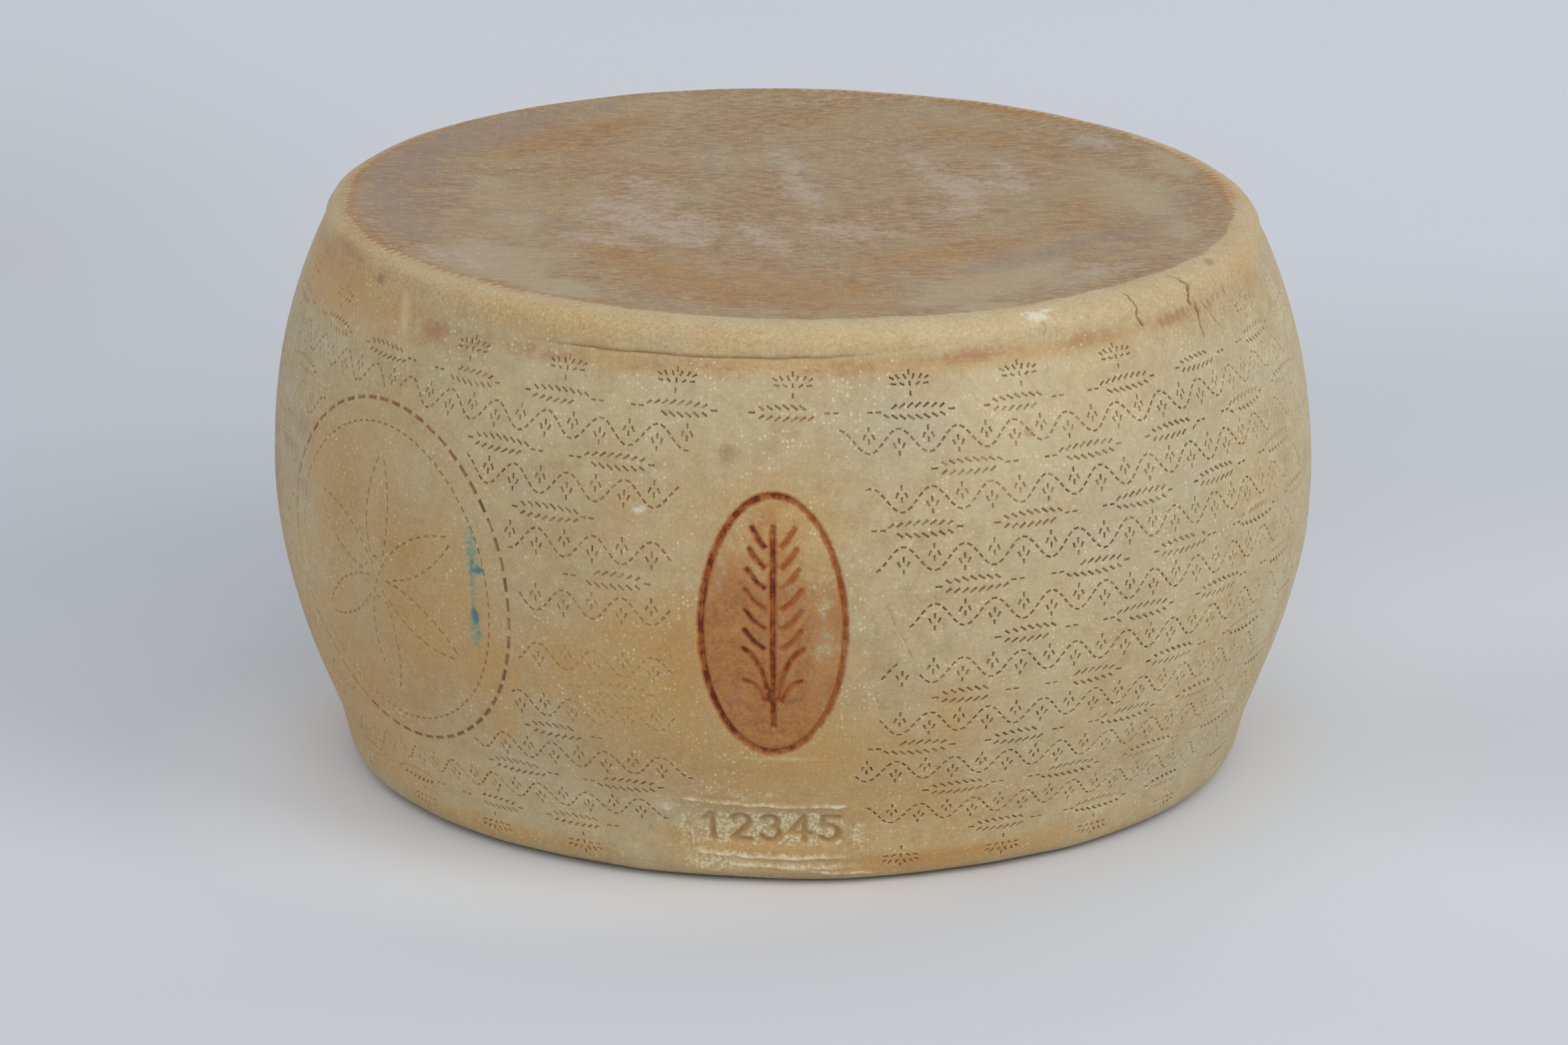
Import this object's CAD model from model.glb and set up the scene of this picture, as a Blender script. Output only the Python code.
from collections import namedtuple
from functools import partial

import bpy
import numpy as np
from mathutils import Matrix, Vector
from mathutils.geometry import delaunay_2d_cdt


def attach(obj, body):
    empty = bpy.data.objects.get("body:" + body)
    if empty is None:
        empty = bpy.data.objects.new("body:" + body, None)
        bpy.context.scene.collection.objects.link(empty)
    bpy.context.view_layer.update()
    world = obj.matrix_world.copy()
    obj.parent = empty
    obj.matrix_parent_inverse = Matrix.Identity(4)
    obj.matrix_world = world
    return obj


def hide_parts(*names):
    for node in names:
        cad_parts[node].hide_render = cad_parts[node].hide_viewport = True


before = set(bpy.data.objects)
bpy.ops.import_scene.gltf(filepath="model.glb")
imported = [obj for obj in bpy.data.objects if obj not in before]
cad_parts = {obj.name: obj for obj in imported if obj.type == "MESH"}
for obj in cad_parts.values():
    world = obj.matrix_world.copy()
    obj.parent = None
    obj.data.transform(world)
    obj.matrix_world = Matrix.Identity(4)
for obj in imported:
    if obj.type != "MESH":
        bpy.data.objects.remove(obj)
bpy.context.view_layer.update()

MM = 0.001

# ---- form of the wheel, in millimetres (angles from the front's middle, to the right) ----
HEIGHT = 222.6
BELLY_RADIUS, BELLY_HEIGHT = 205, 118
LOWER_DROP, LOWER_SPAN, LOWER_POWER = 19.1, 84, 1.77
UPPER_DROP, UPPER_SPAN, UPPER_POWER = 20.2, 94, 2.12
FOOT = {"across": 14, "high": 9, "fullness": 2}
FOOT_SWELL, SWELL_AT, SWELL_SPREAD = 2.7, 8, 9
RIM = {"across": 12.6, "high": 8.4, "fullness": 2.4}
VALLEY = {"deep": 0.9, "at": 208, "spread": 4.5, "reach": 150, "fade": 60}     # dies out at both sides
DISH, DISH_WIDTH = 1.6, 26
TOP_TILT = 2.2 / 200
SKEW = 0.0055
POLE = 6                    # the skin's last ring round each pole
PROFILE_POINTS = {"corner": 60, "side": 800, "under": 200, "top": 400}

# ---- the unrolled wheel: u runs round it and w runs up it ----
ROUND = 200.0               # millimetres of u for each radian
HALF_ROUND = np.pi * ROUND
BELLY_SCALE = ROUND / BELLY_RADIUS      # a millimetre at the belly, in u or w

# ---- marks on the side ----
ROWS = [20.8, 40.9, 60.9, 82.0, 104.6, 127.0, 149.6, 171.6, 192.7]      # heights of the rows of ears
ROUND_COUNT = 27            # ears in a row
PITCH = 3.25                # from dash to dash
DASH = (2.35, 1.25)         # length and width
DASH_DEEP = 0.75
BRAND = {"u": -7.3, "z": 111, "width": 57, "height": 108, "groove": 2.6, "deep": 1.5}
STALK = {"width": 2.6, "length": 84}
GRAINS = {"from": -8, "step": 8, "pairs": 6, "reach": 11.5}
PANEL = {"u": -9.3, "z": 25, "width": 64, "height": 20, "corner": 3, "deep": 0.9, "figure_step": 12.4}
MEDAL = {"u": -179, "z": 107, "radius": 68, "inner_ring": 59, "petal": 49, "hub": 8}


def ease(t):
    """Zero below 0, one above 1, and a smooth step between."""
    held = np.clip(t, 0, 1)
    return held * held * (3 - 2 * held)


def bell(x, middle, spread):
    """A bell curve of height one."""
    return np.exp(-(((x - middle) / spread) ** 2))


# =============================== the skin's form ===============================

def side_radius(z):
    """The belly's radius, less a drop that grows as a power of the height from it, with the foot's
    swelling added."""
    away = z - BELLY_HEIGHT
    lower = LOWER_DROP * (np.maximum(-away, 0) / LOWER_SPAN) ** LOWER_POWER
    upper = UPPER_DROP * (np.maximum(away, 0) / UPPER_SPAN) ** UPPER_POWER
    return BELLY_RADIUS - lower - upper + FOOT_SWELL * bell(z, SWELL_AT, SWELL_SPREAD)


def rounded_corner(corner, turn):
    """How far a corner has drawn back, across (1 - cos^p), and climbed, high sin^p, p being 2 / fullness."""
    power = 2 / corner["fullness"]
    back = corner["across"] * (1 - np.maximum(np.cos(turn), 0) ** power)
    return back, corner["high"] * np.sin(turn) ** power


def wheel_profile():
    """Radius, height, w and way, from the underside's middle over foot, side and rim to the top's middle,
    and the slice of them that climbs.

    w grows by ROUND / radius for each millimetre of the way, so what is drawn in (u, w) keeps its angles."""
    quarter = np.linspace(0, np.pi / 2, PROFILE_POINTS["corner"])
    rim_start = HEIGHT - RIM["high"]
    foot_back, foot_down = rounded_corner(FOOT, quarter[::-1])
    rim_back, rim_up = rounded_corner(RIM, quarter)
    foot = side_radius(FOOT["high"]) - foot_back
    rim = side_radius(rim_start) - rim_back
    z = np.linspace(FOOT["high"], rim_start, PROFILE_POINTS["side"])[1:-1]
    under = np.geomspace(POLE, foot[0], PROFILE_POINTS["under"])[:-1]
    top = np.geomspace(rim[-1], POLE, PROFILE_POINTS["top"])[1:]
    edge = len(under) + len(foot) + len(z) + len(rim)
    sunk = DISH * ease((rim[-1] - top) / DISH_WIDTH)
    radius = np.concatenate([under, foot, side_radius(z), rim, top])
    height = np.concatenate([0 * under, FOOT["high"] - foot_down, z, rim_start + rim_up, HEIGHT - sunk])
    step = np.hypot(np.diff(radius), np.diff(height))
    middle = (radius[1:] + radius[:-1]) / 2
    w = np.concatenate([[0], np.cumsum(ROUND * step / middle)])
    way = np.concatenate([[0], np.cumsum(step)])
    return radius, height, w - w[len(under)], way, slice(len(under), edge)


RADIUS, Z, W, WAY, CLIMB = wheel_profile()      # CLIMB takes in foot, side and rim, where z only grows
OUT_R = np.gradient(Z, WAY)             # the skin's outward direction along the profile
OUT_Z = -np.gradient(RADIUS, WAY)
W_EDGE = W[CLIMB][-1]                   # where the rim runs into the top


def w_at(z):
    """Unrolled height of a height on the side."""
    return np.interp(z, Z[CLIMB], W[CLIMB])


def on_wheel(u, w, lift=0.0):
    """Places (u, w) on the wheel, lift millimetres out of its skin; the plan is skewed and the top tilted."""
    radius = np.interp(w, W, RADIUS) + lift * np.interp(w, W, OUT_R)
    height = np.interp(w, W, Z) + lift * np.interp(w, W, OUT_Z)
    angle = u / ROUND
    plan = radius * (1 + SKEW * np.sin(2 * angle))
    x = plan * np.sin(angle)
    return np.column_stack([x, -plan * np.cos(angle), height - TOP_TILT * x * height / HEIGHT])


def waves(points, longest, shortest, count, seed):
    """The sum of plane waves in random directions, with lengths between the two given, brought to run from
    about -1 to 1."""
    rng = np.random.default_rng(seed)
    facing = rng.normal(size=(count, points.shape[1]))
    facing /= np.linalg.norm(facing, axis=1, keepdims=True)
    lengths = rng.uniform(shortest, longest, count)
    phase = rng.uniform(0, 2 * np.pi, count)
    total = np.sin(points @ (facing / lengths[:, None] * 2 * np.pi).T + phase).sum(1)
    return total * np.sqrt(2 / count) / 1.6


# =============================== paths and dashes ===============================

def arc(x, y, wide, high, start, end, count=24):
    """Points of an oval's arc, between two angles in degrees."""
    turn = np.radians(np.linspace(start, end, count))
    return np.column_stack([x + wide * np.cos(turn), y + high * np.sin(turn)])


def line(*corners):
    """A path of straight pieces through the given corners."""
    return np.array(corners, float)


def along(path, pitch, length, width, dark=1.0):
    """Dashes along a path, their middles a pitch apart: rows of u, w, angle, length, width and darkness."""
    way = np.concatenate([[0], np.cumsum(np.hypot(*np.diff(path, axis=0).T))])
    count = max(1, round(way[-1] / pitch))
    at = (np.arange(count) + 0.5) * way[-1] / count
    reach = min(0.4 * length, 0.4 * way[-1] / count)
    back, middle, ahead = ([np.interp(at + move, way, path[:, k]) for k in (0, 1)]
                           for move in (-reach, 0, reach))
    angle = np.arctan2(ahead[1] - back[1], ahead[0] - back[0])
    same = np.ones(count)
    return np.column_stack([*middle, angle, length * same, width * same, dark * same])


def single(x, y, degrees, length, width, dark=1.0):
    """Dashes given one by one, as arrays or numbers."""
    rows = np.broadcast_arrays(*np.atleast_1d(x, y, np.radians(degrees), length, width, dark))
    return np.column_stack(rows).astype(float)


def moved(dashes, u, w, degrees=0.0, size=1.0, flip=1):
    """A motif's dashes turned, resized, mirrored in its own x axis when flip is -1, and carried to (u, w)."""
    turn = np.radians(degrees)
    x, y = size * dashes[:, 0], size * flip * dashes[:, 1]
    made = dashes.copy()
    made[:, 0] = u + x * np.cos(turn) - y * np.sin(turn)
    made[:, 1] = w + x * np.sin(turn) + y * np.cos(turn)
    made[:, 2] = flip * dashes[:, 2] + turn
    made[:, 3:5] *= size
    return made


def wheat_ear():
    """A lying ear of wheat, 36 mm long: two dashes of straw, eight pairs of grains that grow and then
    shrink towards the tip, and one grain at the tip."""
    steps = np.arange(8)
    grain_x = -10.2 + 3.2 * steps
    plump = 1.35 + 1.0 * np.sin(np.pi * (steps + 0.8) / 8.6)
    length = 2.5 + 0.9 * np.sin(np.pi * (steps + 0.8) / 8.6)
    parts = [single([-16.6, -13.3], 0, 0, 2.3, 1.2)]
    for side in (1, -1):
        parts.append(single(grain_x, side * plump, side * 36, length, 1.3))
    parts.append(single(15.9, 0, 0, 2.9, 1.3))
    return np.concatenate(parts)


def bud():
    """An opening bud on its stem, standing up: the stem, two outer leaves and the tip."""
    return single([0, -1.75, 1.75, 0], [-3.1, -0.2, -0.2, 1.6], [90, 114, 66, 90], [2.2, 2.5, 2.5, 2.4], 1.2)


def sprig():
    """Three buds spread from a short stalk: what fills the narrow rows at rim and foot."""
    stalk = single(0, -5.2, 90, 2.3, 1.2)
    sides = [moved(bud(), 5.8 * facing, 0.3, degrees=-58 * facing) for facing in (1, -1)]
    return np.concatenate([stalk, moved(bud(), 0, 1.9), *sides])


def vine_rows():
    """Between two rows of ears a stalk runs round in waves, with a bud in every bend."""
    height = w_at(np.array(ROWS))
    made = []
    for row, middle in enumerate((height[1:] + height[:-1]) / 2):
        start = (row % 2) * 0.5
        bends = 2 * ROUND_COUNT
        u = np.linspace(-HALF_ROUND, HALF_ROUND, 60 * bends)
        turns = bends * (u + HALF_ROUND) / (2 * HALF_ROUND) + start
        stalk = along(np.column_stack([u, middle + 4.6 * np.sin(2 * np.pi * turns)]), PITCH, *DASH)
        made.append(stalk[:, None])
        period = 2 * HALF_ROUND / bends
        for k in range(bends):
            for side, at in ((1, 0.25), (-1, 0.75)):
                bend = -HALF_ROUND + (k + at - start) * period
                made.append(moved(bud(), bend, middle - side * 1.6, degrees=90 - side * 90)[None])
    return made


def ear_rows():
    """Rows of ears round the wheel, every second row shifted by half an ear."""
    period = 2 * HALF_ROUND / ROUND_COUNT
    made = []
    for row, z in enumerate(ROWS):
        for k in range(ROUND_COUNT):
            u = -HALF_ROUND + (k + 0.5 + 0.5 * (row % 2)) * period
            turn = 0 if (k + row) % 2 == 0 else 180
            made.append(moved(wheat_ear(), u, w_at(z), degrees=turn)[None])
    return made


def sprig_rows():
    """Sprigs over the highest row of ears, and hanging under the lowest."""
    period = 2 * HALF_ROUND / ROUND_COUNT
    made = []
    for k in range(ROUND_COUNT):
        u = -HALF_ROUND + (k + 0.5) * period
        made.append(moved(sprig(), u, w_at(203.5))[None])
        made.append(moved(sprig(), u, w_at(10.5), flip=-1)[None])
    return made


def medallion():
    """A large ring of long dashes, a finer ring inside it, and a rosette drawn with compasses: six arcs,
    each about a point on the rosette's circle, cross at its middle and bound its petals."""
    big, inner, reach, small = (MEDAL[name] for name in ("radius", "inner_ring", "petal", "hub"))
    long_ring = along(arc(0, 0, big, big, 0, 360, 240), 7.6, 5.8, 2.4, dark=1.12)
    fine_ring = along(arc(0, 0, inner, inner, 0, 360, 240), 4.1, 2.6, 1.2, dark=0.7)
    petals = []
    for k in range(6):
        at = np.radians(60 * k + 30)
        middle = reach * np.cos(at), reach * np.sin(at)
        swing = arc(*middle, reach, reach, 60 * k + 210 - 57, 60 * k + 210 + 57, 80)
        petals.append(along(swing, 4.4, 2.9, 1.25, dark=0.62))
    hub = along(arc(0, 0, small, small, 0, 360, 60), 4.0, 2.4, 1.2, dark=0.6)
    return [moved(long_ring, MEDAL["u"], w_at(MEDAL["z"]))[:, None],
            moved(np.concatenate([fine_ring, hub, *petals]), MEDAL["u"], w_at(MEDAL["z"]))[:, None]]


# =============================== pressed lines and ridges ===============================

# A line pressed into the skin (deep > 0) or standing proud of it (deep < 0). burn is how dark it is
# charred, fade the share of its length over which each end dies out, and dirt how much dirt it holds.
Groove = namedtuple("Groove", "path width deep burn fade dirt", defaults=[0.0])


def nearest_on(path, points):
    """Distance from each point to a path of straight pieces, and the nearest place's share of its length."""
    step = np.diff(path, axis=0)
    length = np.hypot(*step.T)
    from_start = points[:, None] - path[None, :-1]
    share = np.clip((from_start * step).sum(2) / length**2, 0, 1)
    distance = np.hypot(*np.moveaxis(from_start - share[..., None] * step, 2, 0))
    best = distance.argmin(1)
    row = np.arange(len(points))
    before = np.concatenate([[0], np.cumsum(length)])[best]
    return distance[row, best], (before + share[row, best] * length[best]) / length.sum()


def resampled(path, step):
    """The same path with its points about a step apart."""
    way = np.concatenate([[0], np.cumsum(np.hypot(*np.diff(path, axis=0).T))])
    at = np.linspace(0, way[-1], max(2, round(way[-1] / step) + 1))
    return np.column_stack([np.interp(at, way, path[:, k]) for k in (0, 1)])


def shaky(path, step, size, seed):
    """A path with small even-handed wanderings to either side, as a hand or a crack makes."""
    fine = resampled(path, step)
    rng = np.random.default_rng(seed)
    return fine + rng.normal(0, size, fine.shape) * np.minimum(1, np.arange(len(fine)) / 2)[:, None]


def brand_grooves():
    """The burnt-in brand: an upright oval with one ear of wheat standing in it and two long leaves at its
    stalk. The iron was held harder at the left."""
    wide, high = (BRAND["width"] - BRAND["groove"]) / 2, (BRAND["height"] - BRAND["groove"]) / 2
    stalk = line((0, -STALK["length"] / 2), (0, STALK["length"] / 2))
    lines = [(arc(0, 0, wide, high, 66, 306, 60), BRAND["groove"], BRAND["deep"], 1.0, 0.05),
             (arc(0, 0, wide, high, -76, 98, 46), BRAND["groove"], BRAND["deep"], 0.66, 0.02),
             (stalk, STALK["width"], BRAND["deep"], 0.95, 0.01)]
    for k, y in enumerate(GRAINS["from"] + GRAINS["step"] * np.arange(GRAINS["pairs"])):
        reach = GRAINS["reach"] - (0.9 * (k - 2) if k > 2 else 0)
        for side in (1, -1):
            grain = line((side * 2.4, y), (side * reach * 0.62, y + 3.6), (side * reach, y + 9.4))
            lines.append((grain, 2.1, 1.1, 0.78 - 0.2 * side, 0.02))
    for side in (1, -1):
        upper_leaf = arc(side * 14.5, -33.5, 13, 27, 90 + side * 84, 90 + side * 8, 12)
        lower_leaf = arc(side * 11.5, -34.5, 8.6, 14, 90 + side * 76, 90 - side * 6, 10)
        lines.append((upper_leaf, 2.2, 1.1, 0.9 - 0.1 * side, 0.03))
        lines.append((lower_leaf, 1.8, 0.9, 0.85, 0.03))
    centre = np.array([BRAND["u"], w_at(BRAND["z"])])
    return [Groove(centre + path * BELLY_SCALE, *rest) for path, *rest in lines]


def numerals():
    """The plain figures 1 to 5 as pen paths, 13 mm tall, each about its own middle."""
    return [
        line((-2.6, 3.6), (0.4, 6.4), (0.4, -6.5)),
        np.concatenate([arc(0, 3.1, 3.7, 3.4, 165, -38, 14), line((-3.9, -6.3), (4.1, -6.3))]),
        np.concatenate([arc(-0.2, 3.3, 3.3, 3.1, 150, -75, 14), arc(-0.2, -2.9, 3.9, 3.5, 75, -155, 16)]),
        line((1.8, -6.5), (1.8, 6.3), (-4.2, -2.6), (4.6, -2.6)),
        np.concatenate([line((3.8, 6.2), (-2.7, 6.2), (-3.2, 0.5)), arc(-0.2, -2.4, 3.9, 4, 125, -150, 18)]),
    ]


def panel_grooves():
    """Five figures pressed into the panel, the raised lips over and beside it, and the smeared ridges
    under it."""
    made = []
    middle = np.array([PANEL["u"], w_at(PANEL["z"])])
    for k, path in enumerate(numerals()):
        place = middle + np.array([PANEL["figure_step"] * (k - 2), -0.4])
        made.append(Groove(place + path, 2.8, 1.9, 0.12, 0))
    lip = w_at(PANEL["z"] + PANEL["height"] / 2) + 1.3
    upper_lip = line((-47, lip + 1.2), (-22, lip), (24, lip - 0.5))
    made.append(Groove(shaky(upper_lip, 6, 0.25, 5), 1.9, -1.25, 0.0, 0.08))
    made.append(Groove(shaky(on_side((-43.6, 34), (-42.2, 15.4)), 5, 0.2, 7), 1.6, -0.7, 0.0, 0.12))
    made.append(Groove(shaky(on_side((25.4, 34), (26.6, 26), (25, 17.5)), 5, 0.2, 8), 1.6, -0.6, 0.0, 0.2))
    for start, end, z, deep in ((-44, 26, 12.6, -1.1), (-30, 22, 8.2, -0.8), (-6, 40, 5.6, -0.6)):
        path = shaky(line((start, w_at(z) + 0.8), (end, w_at(z) - 0.6)), 5, 0.35, int(z * 10))
        made.append(Groove(path, 2.2, deep, 0.0, 0.15))
    return made


def on_side(*corners):
    """A path through corners given as u and height."""
    points = np.array(corners, float)
    return np.column_stack([points[:, 0], w_at(points[:, 1])])


def folds_and_cracks():
    """The sharp fold under the rim, the cracks at its right, scratches beside the brand, and a soft ridge
    under the rim at the left."""
    fold = on_side((-122, 209.4), (-97, 210.6), (-60, 211.2), (-15, 211.7), (29, 212.8), (50, 213.8))
    cracks = [
        (on_side((155.6, 222.3), (156.8, 217.5), (156.2, 214), (159.4, 209)), 1.1, 0.9, 0.9),
        (on_side((189, 222.5), (193.3, 219), (190.8, 215), (191.6, 210.7)), 1.8, 1.4, 1.1),
        (on_side((194.5, 213.5), (195.2, 209), (193, 205), (193, 198.8)), 1.2, 0.9, 0.95),
        (on_side((199, 213), (203, 206), (207.6, 200)), 0.8, 0.5, 0.5),
        (on_side((246, 209), (242, 204), (240.5, 198.4)), 0.8, 0.5, 0.5),
        (on_side((106, 220.5), (108.6, 217.8), (107.2, 213)), 0.8, 0.6, 0.3),
    ]
    scratches = [on_side((33, 124), (38, 112), (46, 95.6)), on_side((30, 88), (33.5, 76))]
    made = [Groove(fold, 1.0, 1.2, 0.14, 0.25, 0.45)]
    for k, (path, width, deep, dirt) in enumerate(cracks):
        made.append(Groove(shaky(path, 2.0, 0.3, 40 + k), width, deep, 0.0, 0.1, dirt))
    for k, path in enumerate(scratches):
        made.append(Groove(shaky(path, 6.0, 0.2, 60 + k), 0.7, 0.3, 0.0, 0.2, 0.3))
    ridge = on_side((-187.7, 213.7), (-184, 206), (-180, 200.3))
    made.append(Groove(ridge, 5.0, -0.9, 0.0, 0.35))
    return made


def wall(inside, width):
    """A groove's section: nothing at its edge, full depth from 0.42 of the width inwards."""
    return ease(inside / (0.42 * width))


def groove_fields(points, grooves):
    """Lift, char and dirt at points of the (u, w) plane: each groove sinks or raises what lies inside its
    edge, and a small lip stands round the sunk ones."""
    lip_high, char_beyond = 0.14, 0.7       # millimetres
    lift = np.zeros(len(points))
    char = np.zeros(len(points))
    dirt = np.zeros(len(points))
    for groove in grooves:
        low, high = groove.path.min(0) - 4, groove.path.max(0) + 4
        near = np.flatnonzero(((points > low) & (points < high)).all(1))
        if not len(near):
            continue
        distance, share = nearest_on(groove.path, points[near])
        if groove.fade:
            strength = ease(share / groove.fade) * ease((1 - share) / groove.fade)
        else:
            strength = 1.0
        inside = groove.width / 2 - distance
        pressed = -groove.deep * strength * wall(inside, groove.width)
        if groove.deep > 0:
            pressed += lip_high * min(1, groove.deep) * strength * bell(inside, -0.8, 0.7)
        stronger = np.abs(pressed) > np.abs(lift[near])
        lift[near] = np.where(stronger, pressed, lift[near])
        within = strength * ease((inside + char_beyond) / (char_beyond + 0.25 * groove.width))
        char[near] = np.maximum(char[near], groove.burn * within)
        dirt[near] = np.maximum(dirt[near], groove.dirt * strength * ease(inside / (0.4 * groove.width)))
    return lift, char, dirt


def groove_points(grooves):
    """Mesh points along every groove: on its middle, its inner walls, its edges and just outside them.
    A point that comes nearer to another stretch than to its own is left out."""
    made = []
    for groove in grooves:
        path = resampled(groove.path, 1.15)
        ahead = np.gradient(path, axis=0)
        across = np.column_stack([-ahead[:, 1], ahead[:, 0]]) / np.hypot(*ahead.T)[:, None]
        half = groove.width / 2
        for offset in (0, 0.5 * half, half, half + 0.9):
            for side in ((1, -1) if offset else (1,)):
                points = path + side * offset * across
                clear = np.ones(len(points), bool)
                for other in grooves:
                    low, high = other.path.min(0) - 4, other.path.max(0) + 4
                    near = np.flatnonzero(((points > low) & (points < high)).all(1))
                    if len(near):
                        gap = nearest_on(other.path, points[near])[0] - other.width / 2
                        clear[near] &= gap > offset - half - 0.02
                made.append(points[clear])
    points = np.concatenate(made)
    cell = np.round(points / 0.55).astype(int)
    first = np.unique(cell, axis=0, return_index=True)[1]
    return points[np.sort(first)]


def panel_depth(points):
    """Inside the panel's rounded outline the skin lies deeper: a distance to a rounded rectangle."""
    centre = np.array([PANEL["u"], w_at(PANEL["z"])])
    half = np.array([PANEL["width"], PANEL["height"]]) / 2 * BELLY_SCALE
    beyond = np.abs(points - centre) - (half - PANEL["corner"])
    outside = np.hypot(*np.maximum(beyond, 0).T) + np.minimum(beyond.max(1), 0) - PANEL["corner"]
    return -PANEL["deep"] * ease(-outside / 2.2)


# u from and to, height from and to, and the gap between points, where marks are too small for the plain skin
FINE_PATCHES = [(-47, 40, 3.5, 38, 1.8), (-133, -119, 86, 141, 1.7), (-32, -18, 170, 185, 2.2),
                (98, 117, 216, 224, 1.3), (166, 225, 206.5, 213.5, 1.3), (90, 96, 178, 184.5, 1.2),
                (217, 225, 218.5, 224.5, 1.4), (-63, -52, 151.5, 158, 1.2), (50, 235, 205, 214.5, 2.3),
                (-180, -80, 202, 213, 2.4), (-193, -177, 197, 217, 2.2), (-214, -203, 211, 219, 1.6),
                (-24, 10, 53, 58.5, 1.6)]


def fine_points():
    """Finer lattices over the panel, the ink, the stains under the rim and other small marks."""
    made = []
    for left, right, low, high, gap in FINE_PATCHES:
        u, w = np.meshgrid(np.arange(left, right, gap), np.arange(w_at(low), w_at(high), 0.9 * gap))
        u = u + 0.5 * gap * (np.arange(len(u)) % 2)[:, None]
        made.append(np.column_stack([u.ravel(), w.ravel()]))
    return np.concatenate(made)


# =============================== which marks stay ===============================

def kept_clear(u, w):
    """True where the rind carries no dashes of the rows: round the brand, the medallion and the panel."""
    brand = (np.abs((u + 8) / 37) ** 4 + np.abs((w - w_at(113)) / 78) ** 4) < 1
    medal = np.hypot(u - MEDAL["u"], w - w_at(MEDAL["z"])) < MEDAL["radius"] + 5
    panel = (np.abs(u + 11) < 41) & (w < w_at(40))
    return brand | medal | panel


def all_dashes():
    """Every dash on the side, as rows of u, w, angle, length, width and darkness, and the number of the
    motif each belongs to. A motif that would reach a cleared place is dropped whole."""
    rows = ear_rows() + sprig_rows() + vine_rows()
    kept = [motif[~kept_clear(motif[..., 0], motif[..., 1]).any(1)] for motif in rows]
    kept = [motif for motif in kept + medallion() if len(motif)]
    sizes = np.concatenate([np.full(len(motif), motif.shape[1]) for motif in kept])
    dashes = np.concatenate([motif.reshape(-1, motif.shape[2]) for motif in kept])
    return dashes, np.repeat(np.arange(len(sizes)), sizes)


def worn(dashes):
    """Depth, darkness and redness for each dash: the press bit unevenly, and ageing wore some marks away."""
    rng = np.random.default_rng(11)
    at = dashes[:, :2]
    height = np.interp(at[:, 1], W, Z)
    patchy = waves(at, 160, 50, 10, 21)
    faint = 0.75 * bell(at[:, 0], -72, 34) * bell(height, 86, 42)
    faint = faint + 0.5 * bell(at[:, 0], -265, 40) + 0.45 * bell(at[:, 0], 262, 32)
    crisp = ease((at[:, 0] + 60) / 120) * 0.12
    strength = 0.80 + 0.17 * patchy + crisp - faint + rng.normal(0, 0.10, len(at))
    strength = np.clip(np.clip(strength, 0.12, 1) * dashes[:, 5], 0, 1)
    red = 0.55 + 0.35 * waves(at, 90, 30, 12, 22) - 0.25 * ease((at[:, 0] - 60) / 120)
    red += rng.normal(0, 0.1, len(at))
    red += 0.7 * bell(at[:, 0], -165, 45) * bell(height, 175, 34) - 0.1 * bell(at[:, 0], -118, 14)
    return DASH_DEEP * (0.45 + 0.55 * strength), strength, np.clip(red, 0, 1)


# =============================== the mesh ===============================

CELL = 0.2                  # side of a cell of the plane in which marks are kept apart
PLANE_LOW = -6.0
PLANE_SHAPE = (int(2 * HALF_ROUND / CELL) + 2, int((W_EDGE + 30 - PLANE_LOW) / CELL))


def cells(u, w):
    """Row and column of the cell that holds (u, w)."""
    i = np.clip(((u + HALF_ROUND) / CELL).astype(int), 0, PLANE_SHAPE[0] - 1)
    j = np.clip(((w - PLANE_LOW) / CELL).astype(int), 0, PLANE_SHAPE[1] - 1)
    return i, j


def dash_frame(dashes):
    """Unit vectors along and across each dash."""
    ahead = np.column_stack([np.cos(dashes[:, 2]), np.sin(dashes[:, 2])])
    return ahead, np.column_stack([-ahead[:, 1], ahead[:, 0]])


def spread_over(dashes, grow):
    """Cells under each dash grown by a margin, from a grid of samples over it."""
    ahead, across = dash_frame(dashes)
    a, b = (g.ravel() for g in np.meshgrid(np.linspace(-1, 1, 29), np.linspace(-1, 1, 13)))
    length = (dashes[:, 3] / 2 + grow)[:, None, None]
    width = (dashes[:, 4] / 2 + grow)[:, None, None]
    points = dashes[:, None, :2] + length * a[:, None] * ahead[:, None] + width * b[:, None] * across[:, None]
    return cells(points[..., 0], points[..., 1])


def without_clashes(dashes, motif, taken):
    """Drops dashes that touch a later dash, a groove or the seam at the back, and whole motifs that would
    lose a quarter of their dashes."""
    owner = np.full(PLANE_SHAPE, -1)
    i, j = spread_over(dashes, 0.08)
    number = np.broadcast_to(np.arange(len(dashes))[:, None], i.shape)
    owner[i.ravel(), j.ravel()] = number.ravel()
    free = (owner[i, j] == number).all(1) & ~taken[i, j].any(1) & (np.abs(dashes[:, 0]) < HALF_ROUND - 4)
    left = np.bincount(motif, free) / np.bincount(motif)
    return dashes[free & (left[motif] > 0.75)]


def grown(taken, reach):
    """The same cells and all that lie within a square of the given reach."""
    steps = int(round(reach / CELL))
    wide = taken.copy()
    for k in range(1, steps + 1):
        wide[k:] |= taken[:-k]
        wide[:-k] |= taken[k:]
    full = wide.copy()
    for k in range(1, steps + 1):
        full[:, k:] |= wide[:, :-k]
        full[:, :-k] |= wide[:, k:]
    return full


def marked(points):
    """A plane of cells with those under the points set."""
    plane = np.zeros(PLANE_SHAPE, bool)
    plane[cells(points[:, 0], points[:, 1])] = True
    return plane


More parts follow.
